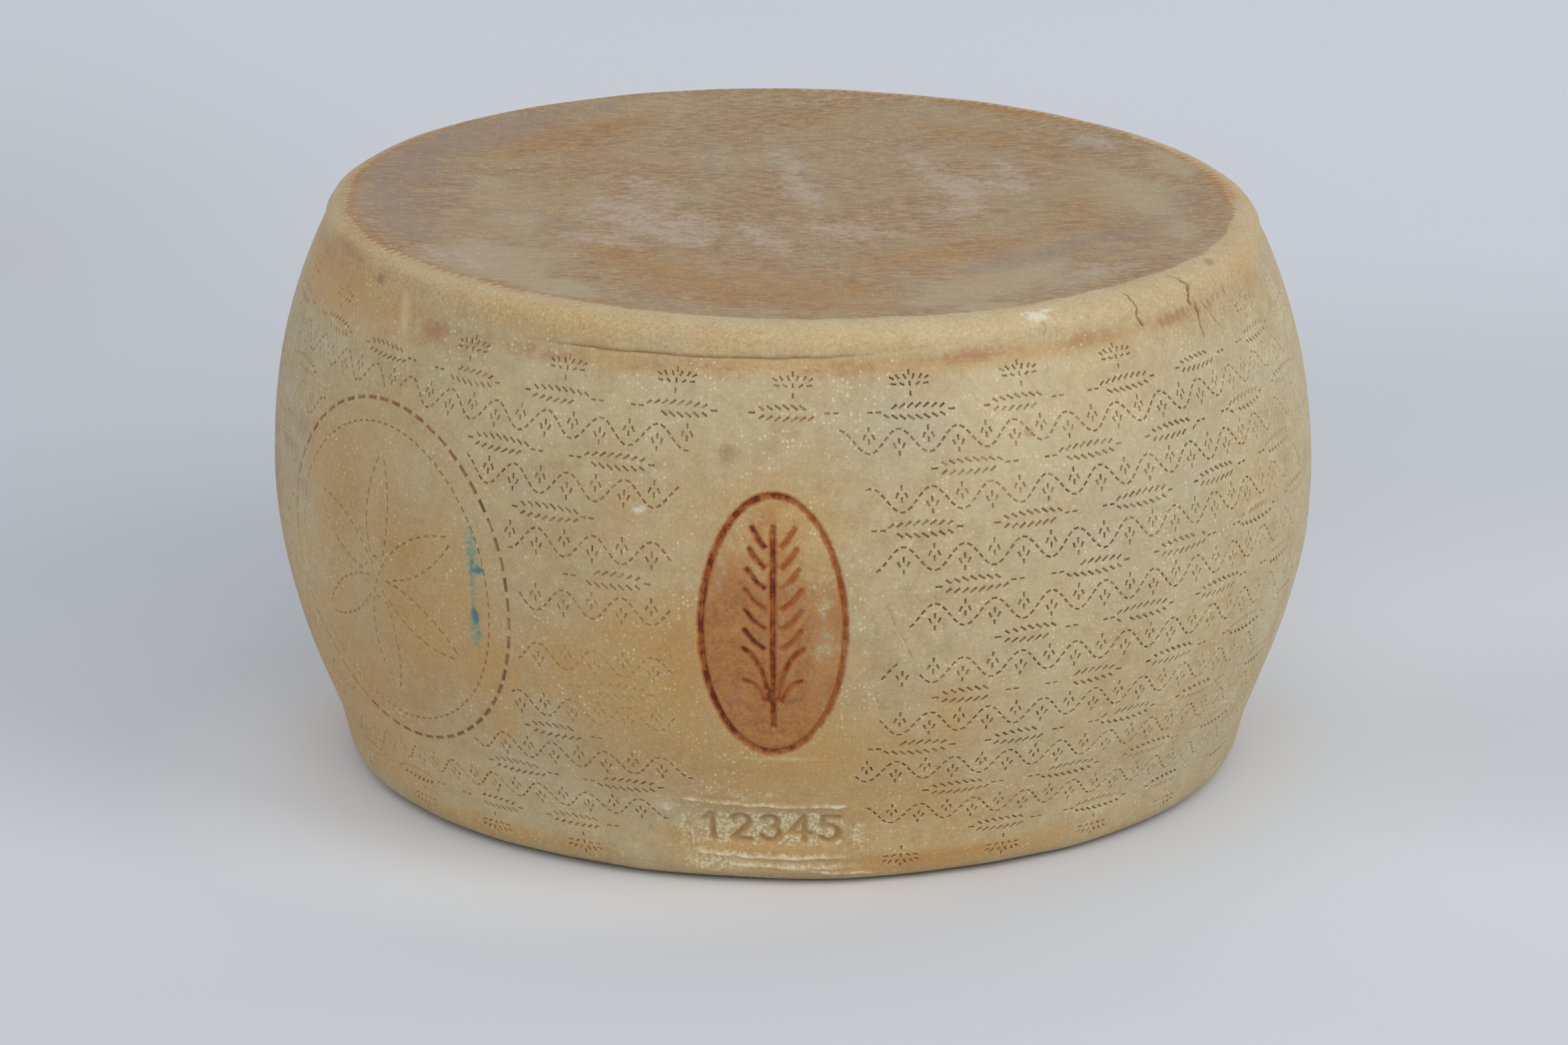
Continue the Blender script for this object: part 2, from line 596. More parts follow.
def gap_at(w):
    """How far apart the plain skin's points lie: closest on foot, valley and rim, widest underneath."""
    rim = bell(w, w_at(214), 20)
    foot = bell(w, 6, 14)
    side = 4.6 - 1.7 * rim - 1.5 * foot
    top = 4.4 - 1.4 * np.exp(-(w - W_EDGE) / 14)
    under = 9 - 5.5 * np.exp(w / 25)
    return np.where(w > W_EDGE, top, np.where(w < 0, under, side))


def plain_points():
    """The plain skin: rings of evenly spaced points, every second ring shifted, each with a point on the
    seam at the back and its twin at the other end of the plane."""
    rng = np.random.default_rng(3)
    step = 0.87 * gap_at(W) * ROUND / RADIUS
    rings = np.concatenate([[0], np.cumsum(np.diff(W) * 2 / (step[1:] + step[:-1]))])
    heights = np.interp(np.linspace(0, rings[-1], int(rings[-1]) + 1), rings, W)
    made = []
    seam = []
    for k, w in enumerate(heights):
        count = max(10, int(round(2 * np.pi * np.interp(w, W, RADIUS) / gap_at(w))))
        spacing = 2 * HALF_ROUND / count
        u = -HALF_ROUND + (np.arange(1, count) + 0.5 * (k % 2)) * spacing
        u = u[u < HALF_ROUND - 0.4 * spacing]
        inner = 0 < k < len(heights) - 1
        shake = rng.uniform(-0.1, 0.1, (2, len(u))) * inner
        up = np.gradient(heights)[k]
        made.append(np.column_stack([u + shake[0] * spacing, w + shake[1] * up]))
        seam.append((-HALF_ROUND, w))
        seam.append((HALF_ROUND, w))
    return np.concatenate(made), np.array(seam)


def dash_points(dashes, deep, strength, red):
    """Six points for each dash, four at its edge and two on its floor, with their lift and their look
    (pit, strength, redness, lip), and the edges round each pit and along its floor."""
    ahead, across = dash_frame(dashes)
    half = dashes[:, 3:4] / 2 * ahead
    side = dashes[:, 4:5] / 2 * across
    floor = (dashes[:, 3:4] - 0.62 * dashes[:, 4:5]) / 2 * ahead
    middle = dashes[:, :2]
    corners = [middle + half + side, middle - half + side, middle - half - side, middle + half - side]
    points = np.stack(corners + [middle + floor, middle - floor], 1)
    lift = np.tile([0.07, 0.07, 0.07, 0.07, 0, 0], (len(dashes), 1))
    lift[:, 4:] = -deep[:, None]
    mask = np.tile([0.0, 0, 0, 0, 1, 1], (len(dashes), 1))
    look = np.stack([mask, np.repeat(strength[:, None], 6, 1), np.repeat(red[:, None], 6, 1), 1 - mask], 2)
    start = 6 * np.arange(len(dashes))[:, None]
    rim = np.concatenate([start + pair for pair in ([0, 1], [1, 2], [2, 3], [3, 0])])
    return points.reshape(-1, 2), lift.ravel(), look.reshape(-1, 4), rim, start + [4, 5]


def triangulated(points, edges):
    """Delaunay triangles of the plane with the given edges kept, and the input point behind each vertex."""
    out = delaunay_2d_cdt([Vector(p) for p in points.tolist()], edges.tolist(), [], 0, 1e-5, True)
    source = np.array([ids[0] if ids else -1 for ids in out[3]])
    return np.array([tuple(v) for v in out[0]]), np.array(out[2]), source


def closed_skin(plane, triangles):
    """Joins the seam at the back and closes both poles: vertex numbers are renamed and two fans added."""
    number = np.arange(len(plane))
    left = number[plane[:, 0] < -HALF_ROUND + 1e-4]
    right = number[plane[:, 0] > HALF_ROUND - 1e-4]
    left = left[plane[left, 1].argsort()]
    right = right[plane[right, 1].argsort()]
    renamed = number.copy()
    renamed[right] = left
    fans = []
    for level, pole in ((W[0], len(plane)), (W[-1], len(plane) + 1)):
        ring = number[np.abs(plane[:, 1] - level) < 1e-4]
        ring = renamed[ring[plane[ring, 0].argsort()]]
        here, there = ring[:-1], ring[1:]
        poles = np.full(len(here), pole)
        order = (poles, there, here) if level == W[0] else (here, there, poles)
        fans.append(np.column_stack(order))
    return renamed[triangles], np.concatenate(fans), right


def wheel_mesh():
    """The whole skin: dashes, grooves and plain points, triangulated flat, then rolled into the wheel.

    Gives its points, triangles, places on the plane, sharp edges and baked layout, and its look in six
    columns: pit, strength, redness, char, how proud it stands, and lip."""
    grooves = brand_grooves() + panel_grooves() + folds_and_cracks()
    lines = groove_points(grooves)
    dashes = without_clashes(*all_dashes(), grown(marked(lines), 1.2))
    deep, strength, red = worn(dashes)
    pits, pit_lift, pit_look, rims, keels = dash_points(dashes, deep, strength, red)
    fine = fine_points()
    fine = fine[~grown(marked(np.concatenate([pits, lines])), 0.9)[cells(*fine.T)]]
    lines = np.concatenate([lines, fine])
    taken = grown(marked(np.concatenate([pits, lines])), 1.3)
    plain, seam = plain_points()
    inside = (plain[:, 1] > PLANE_LOW + 1) & (plain[:, 1] < W_EDGE + 28)
    plain = plain[~(inside & taken[cells(*plain.T)])]
    points = np.concatenate([pits, lines, plain, seam])
    lift = np.zeros(len(points))
    lift[:len(pits)] = pit_lift
    look = np.zeros((len(points), 4))
    look[:len(pits)] = pit_look
    plane, triangles, source = triangulated(points, np.concatenate([rims, keels]))
    found = source >= 0
    lift = np.where(found, lift[source], 0)
    look = np.where(found[:, None], look[source], 0)
    relief, char, dirt = groove_fields(plane, grooves)
    lip = look[:, 3] * (1 - ease(char / 0.1))
    cracked = dirt[:, None] > look[:, :1]
    crack_look = np.column_stack([dirt, 0.85 + 0 * dirt, np.clip(0.4 + 5 * char, 0, 1)])
    look = np.where(cracked, crack_look, look[:, :3])
    lift += relief + panel_depth(plane)
    held = 1 - ease((np.abs(plane[:, 0]) - VALLEY["reach"]) / VALLEY["fade"])
    height = np.interp(plane[:, 1], W, Z) * (plane[:, 1] < W_EDGE)
    lift -= VALLEY["deep"] * held * bell(height, VALLEY["at"], VALLEY["spread"])
    bare = on_wheel(*plane.T)
    lift += 0.34 * waves(bare, 130, 42, 16, 5) * (1 - 0.6 * ease((plane[:, 1] - w_at(200)) / 15))
    lift += 0.13 * waves(bare, 60, 22, 16, 6)
    lift *= ease(plane[:, 1] / 7)
    body, fans, spare = closed_skin(plane, triangles)
    everything = np.concatenate([on_wheel(*plane.T, lift), [[0, 0, 0], [0, 0, HEIGHT - DISH]]])
    poles = np.array([[0, W[0]], [0, W[-1]]])
    plane = np.concatenate([plane, poles])
    look = np.concatenate([np.column_stack([look, char, ease(relief / 0.6), lip]), np.zeros((2, 6))])
    flat = np.concatenate([bare[:, :2], np.zeros((2, 2))])
    corners = np.concatenate([triangles, fans])
    bake_map = laid_out(plane[corners], flat[corners])
    keep = np.ones(len(plane), bool)
    keep[spare] = False
    renamed = np.cumsum(keep) - 1
    faces = renamed[np.concatenate([body, fans])]
    sharp = np.sort(renamed_edges(source, rims, renamed), 1)
    return everything[keep], faces, plane[keep], look[keep], sharp, bake_map


BAKED_SIDE = 1024           # pixels along the baked image's side
# Pixels for each millimetre of a chart, and its middle on the image in pixels
FRONT_CHART, LEFT_CHART, RIGHT_CHART = (1.45, (475, 199)), (1.15, (190, 558)), (1.15, (190, 866))
TOP_CHART, UNDER_CHART = (1.4, (640, 680)), (0.4, (946, 946))


def laid_out(corners, flat):
    """Places on the baked image for the corners of every face: the front of the side and the two quarters
    behind as they unroll, the top seen from above and the underside from below."""
    u, w = corners.mean(1).T
    quarter = HALF_ROUND / 2
    unrolled = (corners[..., 0], corners[..., 1])
    charts = [                  # which faces, their plane, its middle, and the chart
        (np.abs(u) <= quarter, unrolled, (0, W_EDGE / 2), *FRONT_CHART),
        (u < -quarter, unrolled, (-1.5 * quarter, W_EDGE / 2), *LEFT_CHART),
        (u > quarter, unrolled, (1.5 * quarter, W_EDGE / 2), *RIGHT_CHART),
        (w > W_EDGE, (flat[..., 0], flat[..., 1]), (0, 0), *TOP_CHART),
        (w < 0, (-flat[..., 0], flat[..., 1]), (0, 0), *UNDER_CHART),
    ]
    made = np.zeros(corners.shape)
    for chosen, (across, up), middle, pixels, centre in charts:
        place = np.stack([across - middle[0], up - middle[1]], -1) * pixels + centre
        made[chosen] = place[chosen]
    return made / BAKED_SIDE


def renamed_edges(source, edges, renamed):
    """The dash outlines as pairs of final vertex numbers."""
    behind = np.full(source.max() + 1, -1)
    behind[source[source >= 0]] = np.flatnonzero(source >= 0)
    pairs = behind[edges]
    return renamed[pairs[(pairs >= 0).all(1)]]


# =============================== colour zones painted on the skin ===============================

def spots(a, b, table):
    """Soft ovals, the strongest at each place: rows of place a and b, half sizes along them, and strength."""
    total = np.zeros(len(a))
    for at_a, at_b, wide, high, strength in table:
        total = np.maximum(total, strength * np.exp(-((a - at_a) / wide) ** 2 - ((b - at_b) / high) ** 2))
    return total


def strokes(points, table):
    """Soft brush strokes, the strongest at each place: rows of start, end, half width and strength. A
    stroke thins out towards its two ends."""
    total = np.zeros(len(points))
    for x1, y1, x2, y2, half, strength in table:
        distance, share = nearest_on(line((x1, y1), (x2, y2)), points)
        thin = 0.35 + 0.65 * np.sin(np.pi * share)
        total = np.maximum(total, strength * np.exp(-(distance / (half * thin)) ** 2))
    return total


# u, height, half sizes and strength of marks on the side
AMBER_SPOTS = [(-230, 60, 90, 70, 0.9), (-150, 100, 80, 60, 0.7), (-50, 82, 44, 46, 1.0),
               (-6, 60, 50, 40, 0.9), (-40, 150, 44, 40, 0.5), (40, 32, 70, 24, 0.6),
               (-190, 165, 60, 30, 0.5), (203, 138, 26, 26, 0.85), (240, 115, 30, 25, 0.6),
               (-40, 180, 22, 14, 0.6), (-82, 90, 20, 22, 0.85), (-122, 84, 18, 20, 1.0),
               (-250, 207, 80, 20, 1.0), (-110, 218, 70, 10, 0.7), (-10, 217, 80, 9, 0.45),
               (50, 209, 170, 6, 0.8), (-60, 207, 60, 6, 0.7), (240, 215, 60, 12, 0.6),
               (70, 75, 30, 22, 0.5), (60, 9, 100, 9, 0.9), (-215, 22, 60, 18, 1.1),
               (-100, 22, 50, 14, 0.35), (-4, 150, 30, 30, 0.8), (-120, 60, 12, 16, 0.8),
               (-140, 9, 70, 7, 1.0), (150, 82, 70, 46, 0.35), (-120, 160, 14, 12, 0.6),
               (-10, 16, 60, 14, 1.0), (-42, 86, 20, 40, 1.2), (-200, 130, 50, 50, 0.75)]
FADED_SPOTS = [(170, 150, 90, 60, 0.9), (40, 185, 34, 22, 0.9), (-90, 185, 50, 20, 0.5),
               (200, 26, 60, 14, 0.8)]
ORANGE_SPOTS = [(221, 221.7, 3, 2.0, 1.8), (93.1, 181.3, 1.8, 1.8, 1.5), (-264, 212, 54, 6, 0.6),
                (-159, 203, 18, 5, 0.5), (-165, 62, 40, 26, 0.4), (-165, 118, 22, 30, 0.35),
                (-60, 52, 60, 16, 0.35), (-192, 218.5, 50, 4, 0.45), (-244, 218, 32, 5, 0.9),
                (-40, 209, 44, 2.6, 0.45), (60, 10, 60, 4, 0.7), (-90, 8, 40, 4, 0.4),
                (-130, 206, 80, 3, 0.4), (75, 209.5, 34, 4.5, 0.6), (130, 210, 24, 5, 0.8),
                (180, 210, 30, 5, 0.6), (30, 209, 30, 3, 0.5), (235, 207, 40, 5, 0.5),
                (-244, 128, 16, 16, 0.3), (-225, 30, 40, 16, 0.45), (-200, 130, 15, 24, 0.5),
                (-42, 104, 12, 26, 0.4), (-225, 217, 40, 7, 0.5), (140, 12, 40, 4, 0.4),
                (-6, 32, 50, 3, 0.3)]
PINK_SPOTS = [(74.9, 210.5, 18, 2.6, 0.7), (125.9, 210.5, 12, 2.6, 0.5), (178.3, 210.2, 13, 2.6, 0.45),
              (214, 209.5, 12, 2.4, 0.4), (-161, 205.6, 11, 4.2, 0.6), (-137, 205, 12, 3.4, 0.35),
              (-100, 206, 26, 3.4, 0.45), (-40, 206.5, 40, 4, 0.4), (20, 207, 30, 4, 0.35),
              (-208.7, 215.2, 3.4, 2.6, 1.2), (170, 209.6, 1.1, 1.8, 1.2), (173.6, 210, 1.2, 2.2, 1.4),
              (177.2, 210.2, 1.2, 2.4, 1.5), (181, 210.6, 1.1, 2.2, 1.4), (184.6, 210.8, 1.2, 2.4, 1.5),
              (188, 211, 1.0, 2.0, 1.2), (204, 210.4, 1.2, 1.4, 1.2), (208.6, 210.6, 1.2, 1.6, 1.3),
              (213, 210.8, 1.1, 1.4, 1.1), (219.4, 211.4, 1.3, 2.8, 1.5), (-250, 150, 22, 5, 0.6),
              (-262, 139, 16, 4, 0.6), (-242, 127, 14, 4, 0.5), (-286, 120, 14, 18, 0.5)]
GREY_SPOTS = [(-25, 177.4, 3.4, 3.4, 0.75)]
PALE_SPOTS = [(107.4, 221, 6.5, 2.4, 1.0), (-57.8, 154.9, 2.2, 1.4, 0.9), (-48, 30, 5, 9, 0.5),
              (-12, 9, 46, 5, 0.55), (-4, 57.2, 15, 1.0, 0.9), (110, 176, 90, 40, 0.35),
              (60, 222, 110, 8, 0.5), (-150, 26, 120, 22, 0.45), (-60, 18, 80, 14, 0.3),
              (60, 24, 160, 16, 0.35), (-245, 100, 30, 40, 0.5), (-100, 185, 60, 20, 0.5)]
# start and end in u and height, half width and strength of strokes on the side
INK_STROKES = [(-128.6, 138, -126.8, 121, 3.4, 0.75), (-127, 123, -126.6, 108, 2.0, 0.7),
               (-126.8, 110, -127.6, 91, 3.0, 0.72), (-126.5, 122.5, -121.6, 122, 2.2, 1.25),
               (-127.4, 118, -127, 126, 1.6, 1.1), (-126.6, 106.5, -126.2, 101, 2.6, 1.3),
               (-125, 98, -125.6, 94, 1.6, 0.95)]
RIDGE_STROKES = [(-188, 214.5, -180, 199.5, 4, 0.6), (-178, 200, -172, 186, 4, 0.35)]
# start, end, half width and strength of strokes on the top
TOP_LAVENDER = [(-100, 132, -152, 62, 17, 0.8), (-140, 92, -162, 8, 18, 0.9),
                (-160, 30, -146, -58, 16, 0.8), (-147, -46, -118, -92, 10, 0.35),
                (143, -26, 104, -64, 14, 0.6), (112, -58, 66, -96, 12, 0.6), (112, 104, 132, 84, 10, 0.6),
                (-136, 100, -70, 150, 12, 0.5), (150, -20, 158, 30, 10, 0.4)]
TOP_BLOOM = [(-7, 86, 2, 40, 7, 0.5), (0, 40, 9, -4, 8, 0.7), (46, 82, 56, 48, 8, 0.45),
             (55, 50, 72, 8, 11, 0.65), (84, 70, 88, 18, 9, 0.5), (78, 36, 92, 30, 6, 0.9),
             (72, 8, 58, -18, 14, 0.4), (-63, 38, -48, -8, 12, 0.4), (-76, 4, -44, -52, 19, 0.6),
             (-48, -10, -36, -60, 12, 0.55), (-20, -30, -2, -76, 9, 0.55), (8, -34, 40, -46, 15, 0.42),
             (-140, -70, -120, -96, 18, 0.45), (-86, -50, -60, -66, 12, 0.4), (116, 104, 128, 88, 10, 0.6),
             (110, -96, 130, -86, 9, 0.4)]
BLOOM_SPOTS = [(106.4, 221.0, 3.4, 2.4, 1.7), (111.6, 221.8, 3.2, 1.4, 1.2), (102.4, 222, 2.6, 1.1, 1.0),
               (-57.8, 154.9, 2.6, 1.8, 0.8), (-52, 30, 4, 8, 0.3)]
TOP_ORANGE = [(-76, -64, -34, -118, 20, 1.0), (-50, -120, 30, -128, 28, 1.0), (20, -92, 92, -50, 18, 0.8),
              (-84, -146, -56, -153, 9, 0.7), (48, -104, 84, -98, 13, 0.6), (56, 162, 112, 130, 6, 1.1),
              (-30, 170, 10, 171, 4, 0.8), (96, -44, 128, 24, 14, 0.6), (-116, 70, -60, 132, 20, 0.85),
              (-60, 128, 60, 128, 13, 0.45), (50, 128, 112, 80, 18, 0.65), (40, 70, 46, 62, 3, 1.6),
              (-110, -10, -70, 60, 26, 0.3), (104, 44, 122, 8, 10, 0.3), (-90, 70, -50, 60, 22, 0.5),
              (-6, -150, 50, -148, 10, 0.7)]
TOP_PALE = [(-124, -64, -100, -120, 22, 1.1), (-100, -112, -78, -138, 16, 1.0),
            (100, -84, 50, -142, 22, 0.9), (125, 50, 150, -10, 20, 0.8), (-90, 152, 40, 160, 10, 0.3),
            (-120, 30, -104, -50, 18, 0.6), (118, -96, 96, -120, 12, 0.7), (146, 80, 156, 46, 10, 0.9),
            (150, -20, 152, -46, 10, 0.9), (62, -151, 84, -143, 8, 1.1), (-60, 60, 30, 96, 22, 0.3)]


def painted(points, plane, char, proud):
    """Three sets of four masks: orange, pink, grey and ink; top, pale, rim and bloom; amber, crust, scorch
    and lavender."""
    u, w = plane.T
    z = np.interp(w, W, Z)
    on_side_only = (w > 0) & (w < W_EDGE + 2)

    def beside(table):
        """Spots of a table on the side, their heights turned to places along the skin."""
        rows = [(at, w_at(high_up), *rest) for at, high_up, *rest in table]
        return np.where(on_side_only, spots(u, w, rows), 0)

    behind = ease((np.abs(u) - 290) / 60)
    drift = waves(points, 220, 90, 10, 33)
    # The brown top reaches out over the rim at both sides and behind, and ends there in an orange edge.
    reach = 1 + 7 * ease((np.abs(u) - 130) / 130) * (0.8 + 0.2 * np.sign(-u))
    top = ease((w - W_EDGE + reach + 0.9 * waves(points, 40, 10, 14, 34)) / 7)
    rim = ease((w - w_at(211)) / 5) * (1 - top)
    left = ease((-u - 70) / 90)
    edge = bell(w, W_EDGE - reach + 3, 4.2) * np.clip(0.2 + left + behind, 0, 1) * (0.75 + 0.25 * drift)
    orange = beside(ORANGE_SPOTS)
    orange = np.maximum(orange, 0.62 * top * strokes(points[:, :2], TOP_ORANGE))
    orange = np.maximum(orange, edge)
    band = bell(z, 208, 4.5) * 0.5 * behind * (0.6 + 0.4 * waves(points, 120, 40, 8, 31))
    pink = np.maximum(beside(PINK_SPOTS), band * on_side_only)
    grey = beside(GREY_SPOTS)
    unrolled = np.column_stack([u, z])
    ink = np.where(on_side_only, strokes(unrolled, INK_STROKES), 0)
    pale = np.maximum(beside(PALE_SPOTS), on_side_only * strokes(unrolled, RIDGE_STROKES))
    pale = np.maximum(pale, top * strokes(points[:, :2], TOP_PALE))
    bloom = np.maximum(top * strokes(points[:, :2], TOP_BLOOM), beside(BLOOM_SPOTS))
    bloom = np.maximum(bloom, proud * np.where(z < 45, 0.45, 0) * (0.8 + 0.2 * drift))
    lavender = top * strokes(points[:, :2], TOP_LAVENDER)
    amber = beside(AMBER_SPOTS) - beside(FADED_SPOTS)
    amber += behind * np.clip(0.45 + 0.4 * drift, 0, 1)
    under = ease(-w / 6)
    return (np.column_stack([orange, pink, grey, ink]),
            np.column_stack([np.maximum(top, under), pale, rim, bloom]),
            np.column_stack([amber, crusted(plane) * (1 - ease(char / 0.08)), scorch(plane), lavender]))


def pushed_up(plane, lip):
    """How pale and crumbly the skin is that each dash pushed up round itself: most at the right."""
    u = plane[:, 0]
    return lip * np.clip(0.3 + 0.45 * ease((u - 60) / 160) + 0.3 * waves(plane, 70, 24, 12, 36), 0, 1)


# u, height, half sizes and strength of the crust smeared over, beside and under the panel
CRUST_SPOTS = [(-10, 13.5, 44, 2.0, 0.5), (-6, 8.5, 46, 1.8, 0.5), (-34, 10, 14, 6, 0.7),
               (-46, 24, 3, 9, 0.6), (-10, 3, 60, 2.5, 0.35), (27, 22, 4, 9, 0.6), (-24, 41, 26, 3.5, 0.4)]


def crusted(plane):
    """Where the pressed panel left a pale granular crust: over the figures, and in a smear under them."""
    inside = 1 - ease((1 + panel_depth(plane) / PANEL["deep"]) / 0.5)
    u, w = plane.T
    z = np.interp(w, W, Z)
    figures = inside * (0.62 + 0.5 * bell(z, 22, 8) * ease((u + 34) / 20))
    return np.clip(np.maximum(figures, spots(u, z, CRUST_SPOTS) * (w > 0)), 0, 1)


def scorch(plane):
    """The brand's hot face tanned the skin inside its oval, most at the middle and lower left."""
    x = (plane[:, 0] - BRAND["u"]) / BELLY_SCALE
    y = (plane[:, 1] - w_at(BRAND["z"])) / BELLY_SCALE
    inner = np.hypot(x / (BRAND["width"] / 2), y / (BRAND["height"] / 2))
    inside = ease((1.03 - inner) / 0.1)
    low = 0.4 + 0.6 * ease((34 - y) / 26)
    return inside * np.clip(low * (1 - 0.32 * ease((x - 6) / 16)), 0, 1)


# =============================== materials ===============================

def linear(hex_colour):
    """An sRGB colour such as #c9b48a as linear red, green, blue and alpha."""
    value = np.array([int(hex_colour[k:k + 2], 16) for k in (1, 3, 5)]) / 255
    straight = np.where(value <= 0.04045, value / 12.92, ((value + 0.055) / 1.055) ** 2.4)
    return (*straight.tolist(), 1.0)


def new_material(name):
    """An empty node material, and its tree."""
    material = bpy.data.materials.new(name)
    material.use_nodes = True
    material.node_tree.nodes.clear()
    return material, material.node_tree


# A kind of node: its name in Blender, its settings, its inputs in the order they are given, and its result.
Kind = namedtuple("Kind", "name settings inputs result", defaults=[0])
PLACE = Kind("ShaderNodeTexCoord", {}, (), "Object")
LAYER = Kind("ShaderNodeAttribute", {}, (), "Color")
SPLIT_COLOUR = Kind("ShaderNodeSeparateColor", {}, (0,))
SPLIT_PLACE = Kind("ShaderNodeSeparateXYZ", {}, (0,))
MAPPED = Kind("ShaderNodeMapping", {}, ("Vector", "Scale", "Location"))
LENGTH = Kind("ShaderNodeVectorMath", {"operation": "LENGTH"}, (0,), "Value")
NOISE = Kind("ShaderNodeTexNoise", {}, ("Vector", "Scale", "Detail", "Roughness"))
CELLS = Kind("ShaderNodeTexVoronoi", {}, ("Vector", "Scale"), "Distance")
RAMP = Kind("ShaderNodeMapRange", {"interpolation_type": "SMOOTHSTEP"}, (0, 1, 2, 3, 4))
BLEND = Kind("ShaderNodeMix", {"data_type": "RGBA"}, (0, 6, 7), 2)
PLUS = Kind("ShaderNodeMath", {"operation": "ADD"}, (0, 1))
MINUS = Kind("ShaderNodeMath", {"operation": "SUBTRACT"}, (0, 1))
TIMES = Kind("ShaderNodeMath", {"operation": "MULTIPLY"}, (0, 1))
SINE = Kind("ShaderNodeMath", {"operation": "SINE"}, (0,))
BEARING = Kind("ShaderNodeMath", {"operation": "ARCTAN2"}, (0, 1))
BUMP = Kind("ShaderNodeBump", {}, ("Strength", "Distance", "Height"))
SURFACE = Kind("ShaderNodeBsdfPrincipled", {}, ("Base Color", "Roughness"))
OUTPUT = Kind("ShaderNodeOutputMaterial", {}, ("Surface",))


def add(tree, kind, *values, **settings):
    """Adds one node and gives its result. What its inputs get, numbers, colours or other nodes' results,
    comes in the kind's order or as a dictionary by input."""
    node = tree.nodes.new(kind.name)
    for name, value in {**kind.settings, **settings}.items():
        setattr(node, name, value)
    given = values[0] if values and isinstance(values[0], dict) else dict(zip(kind.inputs, values))
    for key, value in given.items():
        if isinstance(value, bpy.types.NodeSocket):
            tree.links.new(value, node.inputs[key])
        else:
            node.inputs[key].default_value = value
    return node.outputs[kind.result] if node.outputs else node


def across_mm(size):
    """Noise scale for a pattern whose features are the given number of millimetres across."""
    return 1 / (size * MM)


def coated(node, colour, *coats):
    """A colour with coats laid over it in turn, each given as where it lies, its share and its tint."""
    for patch, share, tint in coats:
        colour = node(BLEND, node(TIMES, patch, share), colour, linear(tint))
    return colour


Masks = namedtuple("Masks", "dash strength red char orange pink grey ink "
                            "top pale rim bloom amber crust tan lavender")


def painted_masks(node):
    """The masks stored with the skin, four to a layer."""
    found = []
    for name in ("marks", "stains", "zones", "tints"):
        layer = node(LAYER, attribute_name=name)
        found += [*node(SPLIT_COLOUR, layer).node.outputs, layer.node.outputs["Alpha"]]
    return Masks(*found)


def straw(node, place, mask):
    """Straw with paler and deeper blotches some 60, 11 and 5 mm across, golden where oil and age deepened
    it, greyer where it faded, and faintly streaked round the wheel."""
    broad = node(RAMP, node(NOISE, place, across_mm(62), 3, 0.55), 0.34, 0.66)
    cloud = node(RAMP, node(NOISE, place, across_mm(11), 4, 0.55), 0.34, 0.68)
    mottle = node(NOISE, place, across_mm(5.5), 4, 0.65)
    drift = node(MINUS, node(NOISE, place, across_mm(34), 4, 0.55), 0.5)
    golden = node(PLUS, mask.amber, node(TIMES, drift, 0.9))
    level = node(MAPPED, place, (0.35, 0.35, 3.0))
    streak = node(RAMP, node(NOISE, level, across_mm(18), 3, 0.55), 0.48, 0.74)
    return coated(
        node, node(BLEND, broad, linear("#baa982"), linear("#b29b70")),
        (cloud, 0.4, "#c2b28c"),
        (node(RAMP, mottle, 0.3, 0.5, 1.0, 0.0), 0.3, "#a08452"),
        (node(RAMP, mottle, 0.52, 0.72), 0.3, "#d0c096"),
        (node(RAMP, golden, 0.0, 1.0), 0.95, "#bf975a"),
        (node(RAMP, golden, -0.9, -0.1, 1.0, 0.0), 0.7, "#b3a789"),
        (streak, 0.16, "#a8814c"),
        (mask.rim, 0.4, "#c8ad7c"))


TICKS_ROUND = 233           # one every five millimetres or so


def brushed_top(node, place, mask, colour):
    """The top, brushed and handled less: greyer and browner, with a grain of 2 to 6 mm drawn out by the
    brush, and a comb of short orange ticks where it meets the rim. Gives the colour, the grain, and the
    orange mask with gaps cut into it between the ticks."""
    browner = node(RAMP, node(NOISE, place, across_mm(38), 4, 0.6), 0.38, 0.62)
    brushed = node(MAPPED, place, (0.42, 1.0, 1.0))
    grainy = node(RAMP, node(NOISE, brushed, across_mm(2.6), 4, 0.7), 0.36, 0.66)
    ground = node(BLEND, browner, linear("#988260"), linear("#8f6c48"))
    top_colour = node(BLEND, grainy, ground, node(BLEND, mask.orange, linear("#ad926a"), linear("#bb904d")))
    x, y, _ = node(SPLIT_PLACE, place).node.outputs
    wander = node(TIMES, node(NOISE, place, across_mm(14), 3, 0.55), 7)
    ticks = node(PLUS, node(TIMES, node(BEARING, y, x), TICKS_ROUND), wander)
    comb = node(RAMP, node(SINE, ticks), -0.2, 0.8)
    torn = node(TIMES, node(MINUS, node(NOISE, place, across_mm(3.4), 4, 0.6), 0.5), 0.9)
    toothed = node(TIMES, node(TIMES, comb, mask.orange), 0.25)
    edge = node(PLUS, node(PLUS, mask.top, torn), toothed)
    colour = node(BLEND, node(RAMP, edge, 0.34, 0.62), colour, top_colour)
    seam = node(TIMES, node(TIMES, mask.top, node(MINUS, 1.0, mask.top)), 4.0)
    gaps = node(TIMES, node(TIMES, seam, node(MINUS, 1.0, comb)), 0.9)
    orange = node(TIMES, mask.orange, node(MINUS, 1.0, gaps))
    return coated(node, colour, (node(TIMES, seam, orange), 0.8, "#a8682c")), grainy, orange


